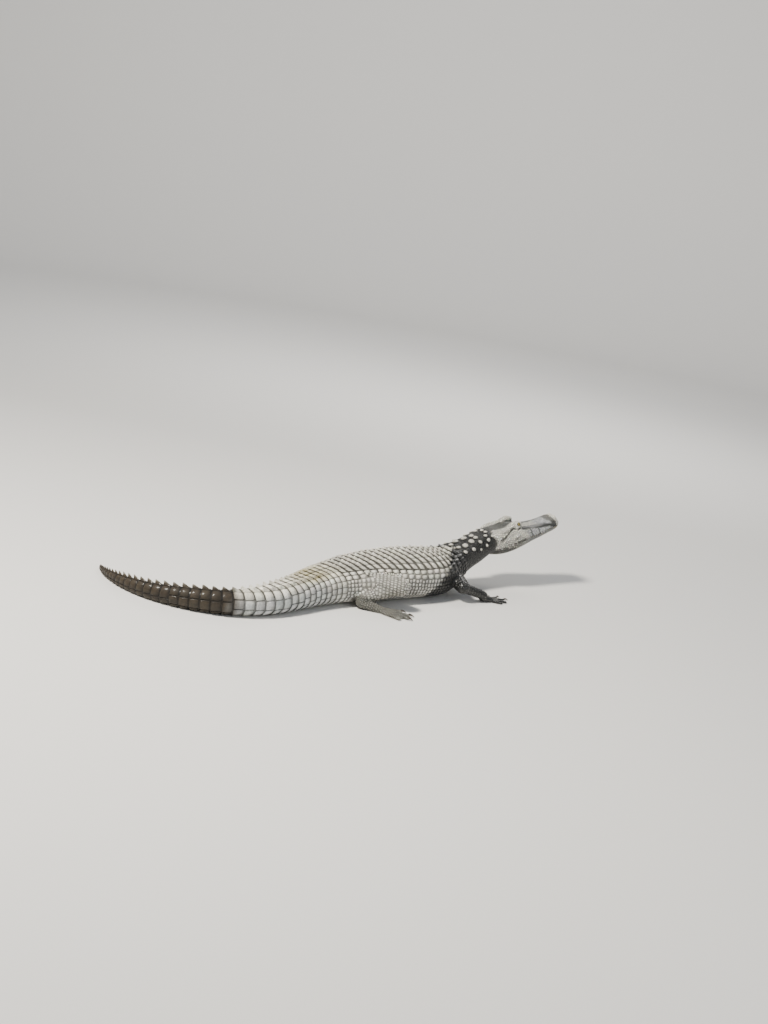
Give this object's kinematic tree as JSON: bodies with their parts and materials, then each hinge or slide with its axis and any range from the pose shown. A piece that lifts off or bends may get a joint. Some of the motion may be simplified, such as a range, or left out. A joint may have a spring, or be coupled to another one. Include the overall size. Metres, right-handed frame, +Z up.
{
  "type": "american alligator, still life-size model",
  "caption": "Life-size still alligator lying on its belly, head raised, tail swept round behind it, legs folded beside the body.",
  "frame": {"origin": "middle of the belly's flat, on the floor", "axes": "+Z up, +X the animal's longest way, towards its head, +Y away from the picture's viewer"},
  "size_m": [1.5581, 1.1192, 0.2663],
  "materials": {
    "head_hide": "wet dark hide with pale worn patches, semi gloss",
    "neck_hide": "wet near-black hide, semi gloss, pale raised scutes",
    "body_hide": "dry pale grey scutes with dark grooves, matt",
    "tail_hide": "dry blue-grey to dark brown ringed hide, matt",
    "leg_hide": "dry grey scaly hide, matt",
    "eye": "wet, glossy, slit pupil",
    "claw": "dark horn, satin"
  },
  "bodies": {
    "root": {"head_upper": "head_hide", "lower_jaw": "head_hide", "eye_right": "eye", "eye_left": "eye", "neck": "neck_hide", "trunk_front": "body_hide", "trunk_rear": "body_hide", "tail_base": "tail_hide", "tail_mid_front": "tail_hide", "tail_mid_rear": "tail_hide", "tail_rear": "tail_hide", "tail_tip": "tail_hide", "right_fore_upper_leg": "leg_hide", "right_fore_lower_leg": "leg_hide", "right_fore_foot": "leg_hide", "right_fore_claw_1": "claw", "right_fore_claw_2": "claw", "right_fore_claw_3": "claw", "right_hind_upper_leg": "leg_hide", "right_hind_lower_leg": "leg_hide", "right_hind_foot": "leg_hide", "right_hind_claw_1": "claw", "right_hind_claw_2": "claw", "right_hind_claw_3": "claw", "left_fore_upper_leg": "leg_hide", "left_fore_lower_leg": "leg_hide", "left_fore_foot": "leg_hide", "left_fore_claw_1": "claw", "left_fore_claw_2": "claw", "left_fore_claw_3": "claw", "left_hind_upper_leg": "leg_hide", "left_hind_lower_leg": "leg_hide", "left_hind_foot": "leg_hide", "left_hind_claw_1": "claw", "left_hind_claw_2": "claw", "left_hind_claw_3": "claw"}
  },
  "joints": []
}
